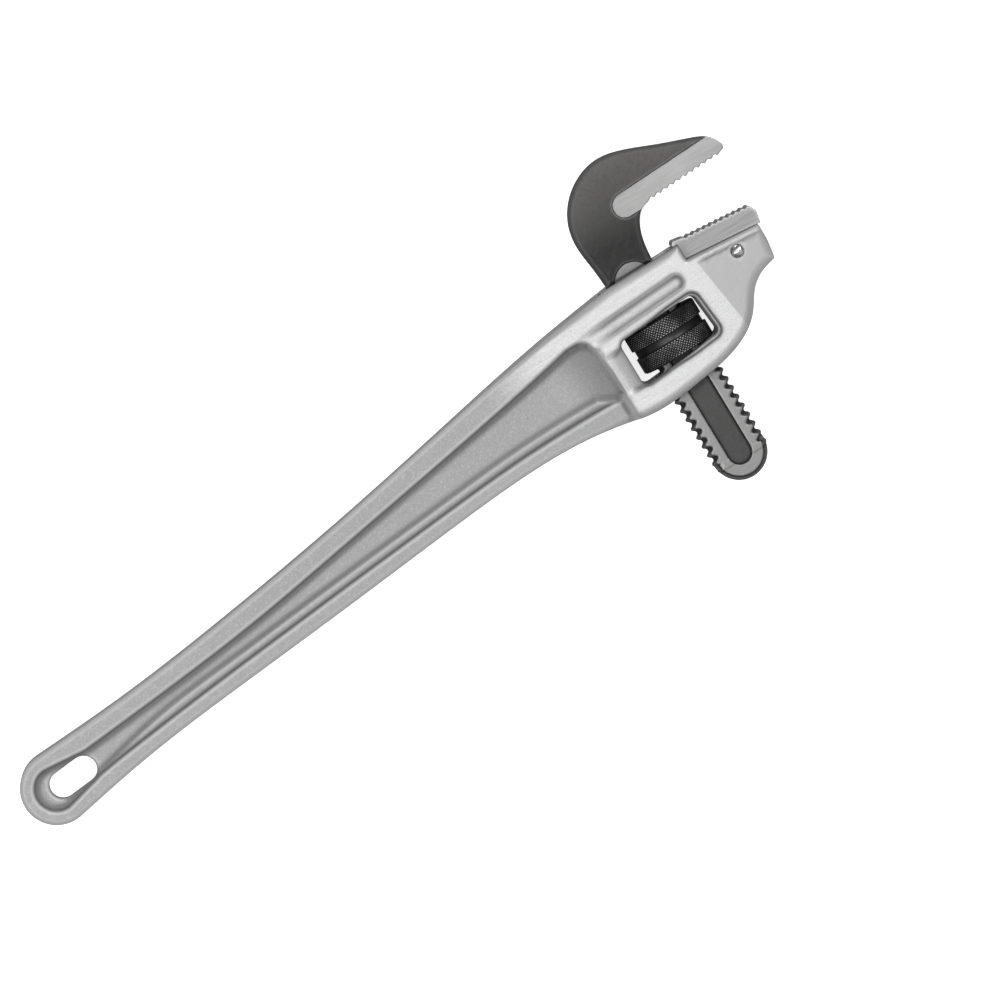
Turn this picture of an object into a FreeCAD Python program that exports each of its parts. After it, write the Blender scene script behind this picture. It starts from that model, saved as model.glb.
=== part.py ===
"""Offset pipe wrench, nominal 18 in (457 mm).

A cast aluminium I-beam handle whose head is the housing, a forged hook jaw on a threaded shank, the
adjusting nut that drives it, a pinned heel jaw, and the spring set behind the shank.

Millimetres. Everything is modelled in head coordinates: the origin is the centre of the nut, +Y is the
thread axis towards the hook, +X is towards the jaws' open end and +Z is through the thickness, about
the middle plane. The last step moves the whole wrench, so that the origin is the middle of its
footprint as it lies on its side.
"""

import FreeCAD
import Part

import os
from math import atan2, cos, degrees, hypot, radians, sin, tan

V = FreeCAD.Vector
X_AXIS, Y_AXIS, Z_AXIS = V(1, 0, 0), V(0, 1, 0), V(0, 0, 1)
ORIGIN = V(0, 0, 0)

# ---- thread: hook jaw's shank and nut ------------------------------------------------------------
PITCH = 5.08  # five turns to the inch, right-handed
CREST_R = 14.75
THREAD_DEPTH = 2.15
ROOT_R = CREST_R - THREAD_DEPTH
CREST_WIDTH = 1.5
FLANK_DEG = 20.0
THREAD_RADIAL_GAP = 0.35
THREAD_FLANK_GAP = 0.25
THREAD_PHASE = -68.1  # height of one crest on the +X side
THREAD_SINK = 1.0  # the ridges start this far below the root, inside the core

# ---- hook jaw ------------------------------------------------------------------------------------
SHANK_HALF = 8.0  # half thickness of the milled shank and of the milled tooth strip
FORGING_HALF = 8.5  # half thickness of the forging as it comes from the die
THREAD_LOW, THREAD_HIGH = -69.8, 33.6
SHANK_END_R = CREST_R - 0.75
SHANK_END_Y = -66.1  # centre of the round end
RIM_WIDTH = 2.2  # unmilled rim round the end
RIM_HALF = 6.4
POCKET_HALF_WIDTH = 6.2
POCKET_TOP = 14.0
POCKET_DEPTH = 2.0
NECK_BACK_X, NECK_FRONT_X, NECK_Y = -CREST_R + 0.9, CREST_R - 2.4, 35.4
BACK_CURVE = [
    (NECK_BACK_X, NECK_Y), (-14.7, 47.0), (-15.9, 61.5), (-12.8, 74.0), (-4.5, 84.5), (5.0, 90.1),
    (15.0, 92.0), (26.0, 90.0), (44.0, 82.9), (60.0, 76.9), (67.6, 72.6), (70.9, 66.9),
]
NOSE_TIP = (70.2, 64.9)
FORGED_EDGE = 1.2
HOOK_TEETH_FROM, HOOK_TEETH_TO = (66.0, 63.3), (25.4, 61.7)
HOOK_TOOTH_COUNT = 11
THROAT_CURVE = [
    HOOK_TEETH_TO, (21.6, 60.5), (18.2, 57.4), (15.4, 52.4), (13.4, 45.4), (NECK_FRONT_X, NECK_Y),
]
STRIP_HEIGHT = 11.0  # milled side strip, above the tooth roots
STRIP_END_X = 14.6  # centre of the strip's round end
TOOTH_DEPTH = 1.3

# ---- nut -----------------------------------------------------------------------------------------
NUT_R = 19.5
NUT_HEIGHT = 20.8
NUT_GROOVE_WIDTH = 4.2
NUT_GROOVE_DEPTH = 1.2
NUT_CHAMFER = 0.9

# ---- window, throat and float --------------------------------------------------------------------
NUT_END_GAP = 0.3  # over the nut's rear top corner at rest
FLOAT_DEG = 2.6  # how far the hook and nut rock back against the spring
WALL_TILT_DEG = FLOAT_DEG + 0.1  # the window's upper wall leans a little more: the nut never bites it
FLOOR_TILT_DEG = FLOAT_DEG + 2.0
WINDOW_REAR_X, WINDOW_FRONT_X = -NUT_R - 3.4, NUT_R + 2.9
WINDOW_ROUND = 3.0
WINDOW_FLOOR_GAP = 3.6  # under the nut's front lower corner, for the rock and the end play
SCOOP_RUN, SCOOP_DEPTH = 8.6, 4.6
SLOT_GAP = 0.5  # each side of the forging
THROAT_REAR_X, THROAT_FRONT_X = -CREST_R - 4.05, CREST_R + 1.45
THROAT_FLARE_X, THROAT_FLARE_Y = THROAT_FRONT_X + 5.4, 27.4
LOWER_SLOT_REAR_X, LOWER_SLOT_FRONT_X = -CREST_R - 0.65, CREST_R + 2.65

# ---- heel jaw and its pin ------------------------------------------------------------------------
HEEL_DEG = -5.2
HEEL_CORNER = (THROAT_FLARE_X + 4.35, 28.2)  # inner corner of the seat
HEEL_LENGTH = 41.0
HEEL_HEIGHT = 10.4  # seat to tooth tips
HEEL_HALF = 12.0
NOSE_END_X = HEEL_CORNER[0] + HEEL_LENGTH - 1.45
HEEL_LIP = 2.4
HEEL_TOOTH_COUNT = 11
TONGUE_HALF = 5.0
TONGUE_FROM, TONGUE_LENGTH, TONGUE_DROP = 4.0, 31.0, 14.0
HEEL_GAP = 0.1
PIN_R = 3.2
PIN_GAP = 0.04
PIN_ALONG, PIN_DOWN = 24.45, 7.1  # from the seat's inner corner
PIN_PROUD = 1.3

# ---- handle and housing --------------------------------------------------------------------------
HOUSING_OVER_NUT = 0.5
HOUSING_HALF = NUT_R + HOUSING_OVER_NUT
RAIL_HALF = 11.5
WEB_HALF = 4.5
RAIL_WIDTH = 9.8
BLOCK_START_X = -34.0  # where the web's ramp meets the housing
HANDLE_REACH = 336.3  # from there to the middle of the handle's round end
END_Y, END_R = -32.8, 18.0
HANG_HOLE_R, HANG_HOLE_REACH, HANG_HOLE_DEG = 6.7, 12.4, 5.0
HANG_HOLE_SHIFT = (3.3, -0.4)  # its rear centre, from the middle of the round end
# Rail edges as (share of the handle's reach, y).
TOP_RAIL = [(0.054, 30.7), (0.202, 22.0), (0.425, 7.9), (0.648, -3.8), (0.856, -11.9)]
LOW_RAIL = [
    (0.871, -43.4), (0.693, -36.8), (0.485, -30.6), (0.277, -23.9), (0.158, -21.4), (0.068, -22.6),
]
HOUSING_TOP_Y = 35.9
HOUSING_FLOOR = [
    (-40.0, -25.3), (-27.0, -27.6), (-17.0, -27.9), (3.0, -25.8), (23.2, -21.8), (34.0, -16.8),
    (41.5, -10.1),
]
HEEL_HOLLOW = [(46.4, -3.1), (51.2, 1.6), (57.5, 4.6), (64.0, 6.1)]
NOSE_END_Y = 16.0
SEAT_STEP = 0.4  # the housing's top edge rises by this much at the heel jaw
WEB_RAMP_X = -66.0  # the web climbs from here to the housing
BLOCK_STEP = 2.0  # and ends this far below the housing's face
RAIL_SWELL_SHARE = 0.285
LOWER_RAIL_RISE_X, LOWER_RAIL_RISE_HALF = -37.5, 15.2  # the lower rail stays thin up to here
LOWER_RAIL_Y = -11.0
HEEL_FACET_X = 31.5  # from here the cheeks slant in towards the nose
NOSE_HALF = 13.2

GROOVE_FROM, GROOVE_TO, GROOVE_R, GROOVE_DEPTH = (-28.0, 19.4), (16.0, 21.5), 3.3, 1.8

# ---- spring set ----------------------------------------------------------------------------------
STRIP_THICK = 1.2
STRIP_HALF = 6.0
STRIP_LOW_Y, STRIP_TOP_Y = NUT_HEIGHT / 2 + 4.6, 33.4
STRIP_LOW_X, STRIP_TOP_X = -CREST_R - 0.35, -CREST_R - 1.35  # front face
FOOT_LENGTH = 5.2
FOOT_GAP = 1.4
COIL_Y = 25.0
COIL_R, COIL_WIRE_R, COIL_TURNS = 3.4, 0.55, 7
COIL_END_GAP = 0.1
COIL_POCKET_GAP = 0.55
COIL_POCKET_END_X = THROAT_REAR_X - 12.2
RIVET_R, RIVET_STUD_LENGTH = 1.2, 4.0
STUD_REACH = -STRIP_LOW_X + STRIP_THICK + RIVET_STUD_LENGTH
STUD_ROCK = STUD_REACH * sin(radians(FLOAT_DEG))  # how far the stud crosses the coil as the hook rocks
STUD_SIDE_GAP = 0.03
RIVET_STUD_R = COIL_R - COIL_WIRE_R - STUD_ROCK - STUD_SIDE_GAP

FAR = 100.0  # cutters reach this far past the metal


# ---- small helpers -------------------------------------------------------------------------------
def at(point, z=0.0):
    return V(point[0], point[1], z)


def line(a, b):
    return Part.LineSegment(at(a), at(b)).toShape()


def spline(points):
    curve = Part.BSplineCurve()
    curve.interpolate([at(p) for p in points])
    return curve.toShape()


def arc(a, middle, b):
    return Part.Arc(at(a), at(middle), at(b)).toShape()


def polygon(points):
    return Part.Wire([line(a, b) for a, b in zip(points, points[1:] + points[:1])])


def plate(wire, low, high):
    """The area inside a flat wire, from height low to high."""
    face = Part.Face(wire)
    face.translate(V(0, 0, low))
    return face.extrude(V(0, 0, high - low))


def slab(wire, half):
    return plate(wire, -half, half)


def box(x0, x1, y0, y1, z0, z1):
    return Part.makeBox(x1 - x0, y1 - y0, z1 - z0, V(x0, y0, z0))


def side_prism(points):
    """A prism along Y from a polygon in X and Z."""
    corners = [V(x, -FAR, z) for x, z in points]
    face = Part.Face(Part.makePolygon(corners + corners[:1]))
    return face.extrude(V(0, 2 * FAR, 0))


def polar(centre, radius, angle_deg):
    angle = radians(angle_deg)
    return (centre[0] + radius * cos(angle), centre[1] + radius * sin(angle))


def stadium(a, b, radius):
    """Outline of a slot between two centres."""
    angle = degrees(atan2(b[1] - a[1], b[0] - a[0]))
    a_left, a_right = polar(a, radius, angle + 90), polar(a, radius, angle - 90)
    b_left, b_right = polar(b, radius, angle + 90), polar(b, radius, angle - 90)
    return Part.Wire([
        arc(a_left, polar(a, radius, angle + 180), a_right),
        line(a_right, b_right),
        arc(b_right, polar(b, radius, angle), b_left),
        line(b_left, a_left),
    ])


def heel_point(along, up):
    """A point in the heel seat's own tilted axes."""
    tilt = radians(HEEL_DEG)
    return (
        HEEL_CORNER[0] + along * cos(tilt) - up * sin(tilt),
        HEEL_CORNER[1] + along * sin(tilt) + up * cos(tilt),
    )


def teeth(start, end, count, depth, lean):
    """Saw-tooth points from start to end: tips on the line, roots depth to its left.

    Lean is where the root lies along each tooth, from 0 to 1.
    """
    dx, dy = end[0] - start[0], end[1] - start[1]
    length = hypot(dx, dy)
    left = (-dy / length, dx / length)
    points = []
    for i in range(count):
        tip = (start[0] + dx * i / count, start[1] + dy * i / count)
        share = (i + lean) / count
        root = (start[0] + dx * share + left[0] * depth, start[1] + dy * share + left[1] * depth)
        points += [tip, root]
    return points + [end]


def polyline(points):
    return [line(a, b) for a, b in zip(points, points[1:])]


# ---- thread --------------------------------------------------------------------------------------
def ridge_width(radius):
    return CREST_WIDTH + 2 * (CREST_R - radius) * tan(radians(FLANK_DEG))


def ridge_section(angle_deg, height, inner, outer, gap=0.0):
    """Cross-section of the thread's ridge on the half plane at this angle about +Y."""
    across = V(cos(radians(angle_deg)), 0, -sin(radians(angle_deg)))
    corners = []
    for radius, side in ((inner, -1), (outer, -1), (outer, 1), (inner, 1)):
        offset = side * (ridge_width(radius) / 2 + gap)
        corners.append(across * radius + V(0, height + offset, 0))
    return Part.makePolygon(corners + corners[:1])


def ridge_span(middle_deg, height):
    """One stretch of the shank's ridge, on the +X side at 0 degrees or the -X side at 180."""
    inner = ROOT_R - THREAD_SINK
    reach = degrees(atan2(SHANK_HALF, inner)) + 8
    steps = 6
    sections = []
    for i in range(steps + 1):
        turn = reach * (2 * i / steps - 1)
        sections.append(ridge_section(middle_deg + turn, height + PITCH * turn / 360, inner, CREST_R))
    return Part.makeLoft(sections, True)


def shank_ridges():
    """Every stretch of ridge between THREAD_LOW and THREAD_HIGH, cut to the shank's flats."""
    spans = []
    for side_deg, offset in ((0, 0.0), (180, PITCH / 2)):
        first = ridge_span(side_deg, 0.0).common(box(-FAR, FAR, -FAR, FAR, -SHANK_HALF, SHANK_HALF))
        count = int((THREAD_HIGH - THREAD_PHASE) / PITCH) + 2
        for i in range(-1, count):
            height = THREAD_PHASE + offset + i * PITCH
            if THREAD_LOW < height - CREST_WIDTH and height + CREST_WIDTH < THREAD_HIGH:
                span = first.copy()
                span.translate(V(0, height, 0))
                spans.append(span)
    return spans


# ---- the pieces ----------------------------------------------------------------------------------
def hook_outline():
    edges = [spline(BACK_CURVE), line(BACK_CURVE[-1], NOSE_TIP), line(NOSE_TIP, HOOK_TEETH_FROM)]
    edges += polyline(teeth(HOOK_TEETH_FROM, HOOK_TEETH_TO, HOOK_TOOTH_COUNT, -TOOTH_DEPTH, 0.35))
    edges += [spline(THROAT_CURVE), line(THROAT_CURVE[-1], BACK_CURVE[0])]
    return Part.Wire(edges)


def hook_strip_cut(side):
    """What milling takes off one side of the tooth strip."""
    a, b = HOOK_TEETH_TO, HOOK_TEETH_FROM
    slope = (b[1] - a[1]) / (b[0] - a[0])
    radius = (STRIP_HEIGHT + TOOTH_DEPTH) / 2
    middle = a[1] + radius - TOOTH_DEPTH
    start = (STRIP_END_X, middle + slope * (STRIP_END_X - a[0]))
    end = (STRIP_END_X + FAR, start[1] + slope * FAR)
    cut = plate(stadium(start, end, radius), SHANK_HALF, FAR)
    return cut if side > 0 else cut.mirror(ORIGIN, Z_AXIS)


def make_hook_jaw():
    forging = slab(hook_outline(), FORGING_HALF)
    long_curves = [e for e in forging.Edges if e.BoundBox.ZLength < 0.01 and e.Length > 25
                   and e.BoundBox.YLength > 1]
    forging = forging.makeChamfer(FORGED_EDGE, long_curves)
    forging = forging.cut(hook_strip_cut(1)).cut(hook_strip_cut(-1))
    # The shank: a round-cornered bar, whose threads start just inside the housing.
    core = Part.makeCylinder(ROOT_R, NECK_Y - SHANK_END_Y, V(0, SHANK_END_Y, 0), Y_AXIS)
    core = core.common(box(-FAR, FAR, -FAR, FAR, -SHANK_HALF, SHANK_HALF))
    collar = box(NECK_BACK_X, NECK_FRONT_X, THREAD_HIGH, NECK_Y, -SHANK_HALF, SHANK_HALF)
    tip = Part.makeCylinder(SHANK_END_R, 2 * RIM_HALF, V(0, SHANK_END_Y, -RIM_HALF))
    tip = tip.common(box(-FAR, FAR, -FAR, THREAD_LOW, -FAR, FAR))
    face = Part.makeCylinder(SHANK_END_R - RIM_WIDTH, 2 * SHANK_HALF, V(0, SHANK_END_Y, -SHANK_HALF))
    face = face.common(box(-FAR, FAR, -FAR, SHANK_END_Y + 1, -FAR, FAR))
    shank = core.multiFuse([collar, tip, face] + shank_ridges())
    for side in (1, -1):
        floor = SHANK_HALF - POCKET_DEPTH
        outline = stadium((0, SHANK_END_Y), (0, POCKET_TOP), POCKET_HALF_WIDTH)
        pocket = plate(outline, floor, FAR)
        shank = shank.cut(pocket if side > 0 else pocket.mirror(ORIGIN, Z_AXIS))
    return forging.fuse(shank).removeSplitter()


def make_nut():
    half = NUT_HEIGHT / 2
    bore_r = ROOT_R + THREAD_RADIAL_GAP
    groove = NUT_GROOVE_WIDTH / 2
    neck_r = NUT_R - NUT_GROOVE_DEPTH
    profile = [
        (bore_r, -half + NUT_CHAMFER), (bore_r + NUT_CHAMFER, -half), (NUT_R - NUT_CHAMFER, -half),
        (NUT_R, -half + NUT_CHAMFER), (NUT_R, -groove), (neck_r, -groove + 0.3), (neck_r, groove - 0.3),
        (NUT_R, groove), (NUT_R, half - NUT_CHAMFER), (NUT_R - NUT_CHAMFER, half),
        (bore_r + NUT_CHAMFER, half), (bore_r, half - NUT_CHAMFER),
    ]
    body = Part.Face(polygon(profile)).revolve(ORIGIN, Y_AXIS, 360)
    # The internal thread: the shank's ridge with its gaps, cut one turn at a time.
    helix = Part.makeHelix(PITCH, PITCH, ROOT_R)
    helix.rotate(ORIGIN, X_AXIS, -90)
    inner, outer = ROOT_R - THREAD_RADIAL_GAP, CREST_R + THREAD_RADIAL_GAP
    section = ridge_section(0, 0, inner, outer, THREAD_FLANK_GAP)
    turn = Part.Wire(helix.Edges).makePipeShell([section], True, True)
    first = THREAD_PHASE - PITCH * round((THREAD_PHASE + half) / PITCH) - PITCH
    for i in range(int(NUT_HEIGHT / PITCH) + 3):
        cutter = turn.copy()
        cutter.translate(V(0, first + i * PITCH, 0))
        body = body.cut(cutter)
    return body


def make_heel_jaw():
    tip_line = [heel_point(HEEL_LENGTH - 2.5, HEEL_HEIGHT), heel_point(HEEL_LIP + 1.0, HEEL_HEIGHT)]
    lip_x = HEEL_CORNER[0] - HEEL_LIP
    lip_y = HOUSING_TOP_Y + SEAT_STEP + HEEL_GAP
    outline = [
        heel_point(HEEL_GAP, HEEL_GAP), heel_point(HEEL_LENGTH, HEEL_GAP),
        heel_point(HEEL_LENGTH + 0.6, HEEL_HEIGHT - 4.0), heel_point(HEEL_LENGTH - 1.2, HEEL_HEIGHT - 1.0),
    ]
    outline += teeth(tip_line[0], tip_line[1], HEEL_TOOTH_COUNT, TOOTH_DEPTH * 0.7, 0.5)
    outline += [(lip_x + 1.4, lip_y + 2.8), (lip_x, lip_y + 1.2), (lip_x + 0.2, lip_y)]
    outline += [(HEEL_CORNER[0] + HEEL_GAP, lip_y)]
    block = slab(polygon(outline), HEEL_HALF)
    end = TONGUE_FROM + TONGUE_LENGTH
    foot = [heel_point(TONGUE_FROM, 1.0), heel_point(end, 1.0), heel_point(end, -TONGUE_DROP + 4)]
    foot += [heel_point(end - 4, -TONGUE_DROP), heel_point(TONGUE_FROM, -TONGUE_DROP)]
    tongue = slab(polygon(foot), TONGUE_HALF)
    hole = Part.makeCylinder(PIN_R + PIN_GAP, 2 * FAR, at(heel_point(PIN_ALONG, -PIN_DOWN), -FAR))
    return block.fuse(tongue).cut(hole).removeSplitter()


def make_heel_jaw_pin():
    centre = heel_point(PIN_ALONG, -PIN_DOWN)
    half = cheek_half(centre[0]) + PIN_PROUD
    pin = Part.makeCylinder(PIN_R, 2 * half, at(centre, -half))
    ends = [e for e in pin.Edges if e.BoundBox.ZLength < 1e-3]
    return pin.makeFillet(PIN_PROUD * 0.95, ends)


def strip_x(y):
    """Front face of the flat spring at this height."""
    share = (y - STRIP_LOW_Y) / (STRIP_TOP_Y - STRIP_LOW_Y)
    return STRIP_LOW_X + (STRIP_TOP_X - STRIP_LOW_X) * share


def make_flat_spring():
    outline = [
        (STRIP_LOW_X, STRIP_LOW_Y), (STRIP_TOP_X, STRIP_TOP_Y), (STRIP_TOP_X - STRIP_THICK, STRIP_TOP_Y),
        (strip_x(STRIP_LOW_Y + STRIP_THICK) - STRIP_THICK, STRIP_LOW_Y + STRIP_THICK),
        (STRIP_LOW_X - FOOT_LENGTH, STRIP_LOW_Y + STRIP_THICK), (STRIP_LOW_X - FOOT_LENGTH, STRIP_LOW_Y),
    ]
    strip = slab(polygon(outline), STRIP_HALF)
    corner = [e for e in strip.Edges if e.BoundBox.ZLength > STRIP_HALF
              and abs(e.BoundBox.XMin - STRIP_LOW_X) < 0.01 and abs(e.BoundBox.YMin - STRIP_LOW_Y) < 0.01]
    strip = strip.makeFillet(STRIP_THICK * 0.8, corner)
    hole = Part.makeCylinder(RIVET_R + PIN_GAP, FAR, V(STRIP_LOW_X + 1, COIL_Y, 0), V(-1, 0, 0))
    return strip.cut(hole)


def make_spring_rivet():
    """The stud that joins the flat spring to the coil: flush in front, a boss inside the coil behind."""
    front, back = strip_x(COIL_Y) - 0.15, strip_x(COIL_Y + RIVET_STUD_R) - STRIP_THICK - 0.02
    shaft = Part.makeCylinder(RIVET_R, front - back, V(front, COIL_Y, 0), V(-1, 0, 0))
    stud = Part.makeCylinder(RIVET_STUD_R, RIVET_STUD_LENGTH, V(back, COIL_Y, 0), V(-1, 0, 0))
    return shaft.fuse(stud).removeSplitter()


def make_coil_spring():
    near = strip_x(COIL_Y + COIL_R) - STRIP_THICK - COIL_END_GAP - COIL_WIRE_R
    far = COIL_POCKET_END_X + COIL_END_GAP + COIL_WIRE_R
    length = near - far
    helix = Part.makeHelix(length / COIL_TURNS, length, COIL_R)
    section = Part.Wire(Part.makeCircle(COIL_WIRE_R, V(COIL_R, 0, 0), Y_AXIS))
    coil = Part.Wire(helix.Edges).makePipeShell([section], True, True)
    coil.rotate(ORIGIN, Y_AXIS, 90)
    coil.translate(V(far, COIL_Y, 0))
    return coil


def along_handle(shares):
    return [(BLOCK_START_X - share * HANDLE_REACH, y) for share, y in shares]


def handle_end():
    """Middle of the handle's round end."""
    return (BLOCK_START_X - HANDLE_REACH, END_Y)


def casting_outline():
    """Outline of handle and head, clockwise from the heel seat's upper corner."""
    top_tangent = polar(handle_end(), END_R, 93)
    low_tangent = polar(handle_end(), END_R, -80)
    seat_top = (HEEL_CORNER[0], HOUSING_TOP_Y + SEAT_STEP)
    neck = (NECK_BACK_X, HOUSING_TOP_Y)
    nose = (NOSE_END_X, NOSE_END_Y)
    edges = [line(seat_top, neck), spline([neck] + along_handle(TOP_RAIL) + [top_tangent])]
    edges += [arc(top_tangent, polar(handle_end(), END_R, 180), low_tangent)]
    edges += [spline([low_tangent] + along_handle(LOW_RAIL) + HOUSING_FLOOR + HEEL_HOLLOW)]
    seat_end = heel_point((NOSE_END_X - HEEL_CORNER[0]) / cos(radians(HEEL_DEG)), 0)
    edges += [line(HEEL_HOLLOW[-1], nose), line(nose, seat_end), line(seat_end, HEEL_CORNER)]
    edges += [line(HEEL_CORNER, seat_top)]
    return Part.Wire(edges)


def thickness_profile():
    """Half thickness along the wrench, as (x, half) corners from the handle's end to the nose."""
    swell_x = BLOCK_START_X - RAIL_SWELL_SHARE * HANDLE_REACH
    return [
        (-FAR * 5, RAIL_HALF), (swell_x, RAIL_HALF), (BLOCK_START_X, HOUSING_HALF),
        (HEEL_FACET_X, HOUSING_HALF), (NOSE_END_X, NOSE_HALF), (FAR, NOSE_HALF),
    ]


def cheek_half(x):
    """Half thickness of the heel at this x, on the slanted facets."""
    share = (x - HEEL_FACET_X) / (NOSE_END_X - HEEL_FACET_X)
    return HOUSING_HALF + (NOSE_HALF - HOUSING_HALF) * share


def lower_rail_relief(side):
    """The lower rail swells later than the upper one: what comes off it on one side."""
    swell_x = BLOCK_START_X - RAIL_SWELL_SHARE * HANDLE_REACH
    over = side_prism([
        (swell_x, RAIL_HALF), (LOWER_RAIL_RISE_X, LOWER_RAIL_RISE_HALF), (BLOCK_START_X, HOUSING_HALF),
        (BLOCK_START_X, FAR), (swell_x, FAR),
    ])
    relief = over.common(box(-FAR * 5, FAR, -FAR, LOWER_RAIL_Y, 0, FAR))
    return relief if side > 0 else relief.mirror(ORIGIN, Z_AXIS)


def web_pocket(side):
    """The hollow of the I-beam on one side, with a ramp up to the housing."""
    pocket_r = END_R - RAIL_WIDTH
    end = handle_end()
    upper = [(x, y - RAIL_WIDTH) for x, y in along_handle(TOP_RAIL)] + [polar(end, pocket_r, 93)]
    lower = [polar(end, pocket_r, -80)] + [(x, y + RAIL_WIDTH) for x, y in along_handle(LOW_RAIL)]
    outline = Part.Wire([
        spline(upper), arc(upper[-1], polar(end, pocket_r, 180), lower[0]), spline(lower),
        line(lower[-1], (BLOCK_START_X, lower[-1][1])),
        line((BLOCK_START_X, lower[-1][1]), (BLOCK_START_X, upper[0][1])),
        line((BLOCK_START_X, upper[0][1]), upper[0]),
    ])
    prism = plate(outline, 0, FAR)
    depth = side_prism([
        (-FAR * 5, WEB_HALF), (WEB_RAMP_X, WEB_HALF), (BLOCK_START_X, HOUSING_HALF - BLOCK_STEP),
        (BLOCK_START_X, FAR), (-FAR * 5, FAR),
    ])
    pocket = prism.common(depth)
    return pocket if side > 0 else pocket.mirror(ORIGIN, Z_AXIS)


def wall_y(x, tilt_deg, through):
    return through[1] + (x - through[0]) * tan(radians(tilt_deg))


def window_corners():
    """The window's four corners, rear top first, clockwise."""
    half = NUT_HEIGHT / 2
    roof = (-NUT_R, half + NUT_END_GAP)
    floor = (NUT_R, -half - WINDOW_FLOOR_GAP + NUT_R * 2 * tan(radians(FLOOR_TILT_DEG - WALL_TILT_DEG)))
    return [
        (WINDOW_REAR_X, wall_y(WINDOW_REAR_X, WALL_TILT_DEG, roof)),
        (WINDOW_FRONT_X - 1.5, wall_y(WINDOW_FRONT_X, WALL_TILT_DEG, roof)),
        (WINDOW_FRONT_X, wall_y(WINDOW_FRONT_X, FLOOR_TILT_DEG, floor)),
        (WINDOW_REAR_X, wall_y(WINDOW_REAR_X, FLOOR_TILT_DEG, floor)),
    ]


def rounded_prism(corners, half, radius):
    prism = slab(polygon(corners), half)
    upright = [e for e in prism.Edges if e.BoundBox.ZLength > half]
    return prism.makeFillet(radius, upright)


def window_cutters():
    corners = window_corners()
    cutters = [rounded_prism(corners, FAR, WINDOW_ROUND)]
    # A scoop in each face, behind the nut, lets a thumb reach it.
    low, high = corners[3][1] + WINDOW_ROUND, corners[0][1] - WINDOW_ROUND
    for side in (1, -1):
        wedge = [
            V(WINDOW_REAR_X + 1, low, side * (HOUSING_HALF - SCOOP_DEPTH)),
            V(WINDOW_REAR_X - SCOOP_RUN, low, side * (HOUSING_HALF + 0.01)),
            V(WINDOW_REAR_X + 1, low, side * (HOUSING_HALF + 0.01)),
        ]
        cutters.append(Part.Face(Part.makePolygon(wedge + wedge[:1])).extrude(V(0, high - low, 0)))
    return cutters


def throat_cutters():
    """The slots above and below the window, which the shank and the hook's neck slide through."""
    half = FORGING_HALF + SLOT_GAP
    above = [
        (THROAT_REAR_X, 0), (THROAT_FRONT_X, 0), (THROAT_FRONT_X, THROAT_FLARE_Y),
        (THROAT_FLARE_X, HOUSING_TOP_Y), (THROAT_FLARE_X, FAR), (THROAT_REAR_X, FAR),
    ]
    below = [
        (LOWER_SLOT_REAR_X, 0), (LOWER_SLOT_FRONT_X, 0),
        (LOWER_SLOT_FRONT_X, -FAR), (LOWER_SLOT_REAR_X, -FAR),
    ]
    notch = box(
        STRIP_LOW_X - FOOT_LENGTH - FOOT_GAP, THROAT_REAR_X + 1, STRIP_LOW_Y - FOOT_GAP,
        STRIP_LOW_Y + STRIP_THICK + FOOT_GAP, -STRIP_HALF - FOOT_GAP, STRIP_HALF + FOOT_GAP,
    )
    pocket = Part.makeCylinder(
        COIL_R + COIL_WIRE_R + COIL_POCKET_GAP, THROAT_REAR_X - COIL_POCKET_END_X + 1,
        V(COIL_POCKET_END_X, COIL_Y, 0), X_AXIS,
    )
    return [slab(polygon(above), half), slab(polygon(below), half), notch, pocket]


def heel_cutters():
    """The slot for the heel jaw's tongue, and the pin's hole."""
    gap = 2 * HEEL_GAP
    start, end = TONGUE_FROM - gap, TONGUE_FROM + TONGUE_LENGTH + gap
    slot = [heel_point(start, FAR), heel_point(start, -TONGUE_DROP - gap)]
    slot += [heel_point(end, -TONGUE_DROP - gap), heel_point(end, FAR)]
    hole = Part.makeCylinder(PIN_R + PIN_GAP, 2 * FAR, at(heel_point(PIN_ALONG, -PIN_DOWN), -FAR))
    return [slab(polygon(slot), TONGUE_HALF + HEEL_GAP), hole]


def side_grooves():
    """The shallow cast groove along each cheek, above the window."""
    groove = plate(stadium(GROOVE_FROM, GROOVE_TO, GROOVE_R), HOUSING_HALF - GROOVE_DEPTH, FAR)
    return [groove, groove.mirror(ORIGIN, Z_AXIS)]


def make_handle():
    profile = thickness_profile()
    sides = profile + [(x, -half) for x, half in reversed(profile)]
    casting = slab(casting_outline(), FAR).common(side_prism(sides))
    for side in (1, -1):
        casting = casting.cut([web_pocket(side), lower_rail_relief(side)])
    hang_start = (handle_end()[0] + HANG_HOLE_SHIFT[0], handle_end()[1] + HANG_HOLE_SHIFT[1])
    hang_end = polar(hang_start, HANG_HOLE_REACH, HANG_HOLE_DEG)
    cutters = [slab(stadium(hang_start, hang_end, HANG_HOLE_R), FAR)]
    cutters += window_cutters() + throat_cutters() + heel_cutters() + side_grooves()
    return casting.cut(cutters)


def build():
    """{node name: solid} in head coordinates."""
    return {
        "handle": make_handle(),
        "hook_jaw": make_hook_jaw(),
        "adjusting_nut": make_nut(),
        "heel_jaw": make_heel_jaw(),
        "heel_jaw_pin": make_heel_jaw_pin(),
        "flat_spring": make_flat_spring(),
        "spring_rivet": make_spring_rivet(),
        "coil_spring": make_coil_spring(),
    }


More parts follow.
